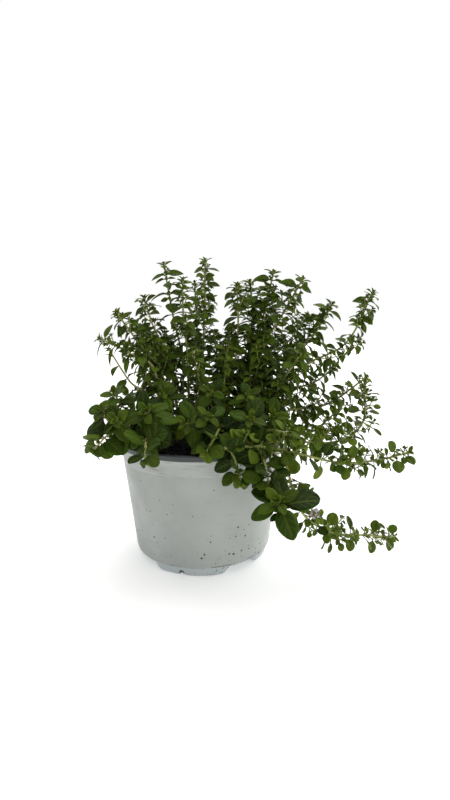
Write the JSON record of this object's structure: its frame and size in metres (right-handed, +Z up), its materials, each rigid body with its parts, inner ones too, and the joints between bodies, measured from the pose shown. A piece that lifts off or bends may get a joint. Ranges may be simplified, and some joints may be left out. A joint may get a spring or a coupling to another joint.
{
  "type": "potted thyme",
  "caption": "Bushy thyme plant with upright and trailing leafy stems, rooted in soil in a thin round tapered growing pot with a lip and notched foot.",
  "frame": {"origin": "middle of the pot's underside, on the surface that it stands on", "axes": "+Z up along the pot's axis; -Y towards the viewer of the picture; +X to the right of the picture"},
  "size_m": [0.2081, 0.1806, 0.2121],
  "materials": {
    "pot": "satin",
    "soil": "matte",
    "thyme": "matte"
  },
  "bodies": {
    "root": {"pot": "pot", "soil": "soil", "thyme_tall_left": "thyme", "thyme_tall_left_low": "thyme", "thyme_tallest": "thyme", "thyme_tallest_mate": "thyme", "thyme_left_mid": "thyme", "thyme_left_high": "thyme", "thyme_left_arm": "thyme", "thyme_left_thread": "thyme", "thyme_left_wood": "thyme", "thyme_left_back": "thyme", "thyme_left_low_a": "thyme", "thyme_left_low_b": "thyme", "thyme_left_low_c": "thyme", "thyme_left_low_d": "thyme", "thyme_left_low_e": "thyme", "thyme_left_rosette": "thyme", "thyme_left_bright": "thyme", "thyme_front_a": "thyme", "thyme_front_b": "thyme", "thyme_front_c": "thyme", "thyme_front_leaf": "thyme", "thyme_front_d": "thyme", "thyme_front_e": "thyme", "thyme_front_left": "thyme", "thyme_right_dark": "thyme", "thyme_right_dark_side": "thyme", "thyme_hanging": "thyme", "thyme_trail_long": "thyme", "thyme_trail_up": "thyme", "thyme_trail_low": "thyme", "thyme_right_arch": "thyme", "thyme_right_broad": "thyme", "thyme_right_low": "thyme", "thyme_right_first": "thyme", "thyme_right_second": "thyme", "thyme_right_third": "thyme", "thyme_right_fourth": "thyme", "thyme_right_fifth": "thyme", "thyme_right_sixth": "thyme", "thyme_right_far": "thyme", "thyme_right_out": "thyme", "thyme_right_fill": "thyme", "thyme_mid_a": "thyme", "thyme_mid_b": "thyme", "thyme_mid_c": "thyme", "thyme_back_1": "thyme", "thyme_back_2": "thyme", "thyme_back_3": "thyme", "thyme_back_4": "thyme", "thyme_back_5": "thyme", "thyme_back_6": "thyme", "thyme_back_7": "thyme", "thyme_back_8": "thyme", "thyme_back_9": "thyme", "thyme_back_10": "thyme", "thyme_back_11": "thyme", "thyme_back_12": "thyme", "thyme_back_13": "thyme"}
  },
  "joints": []
}
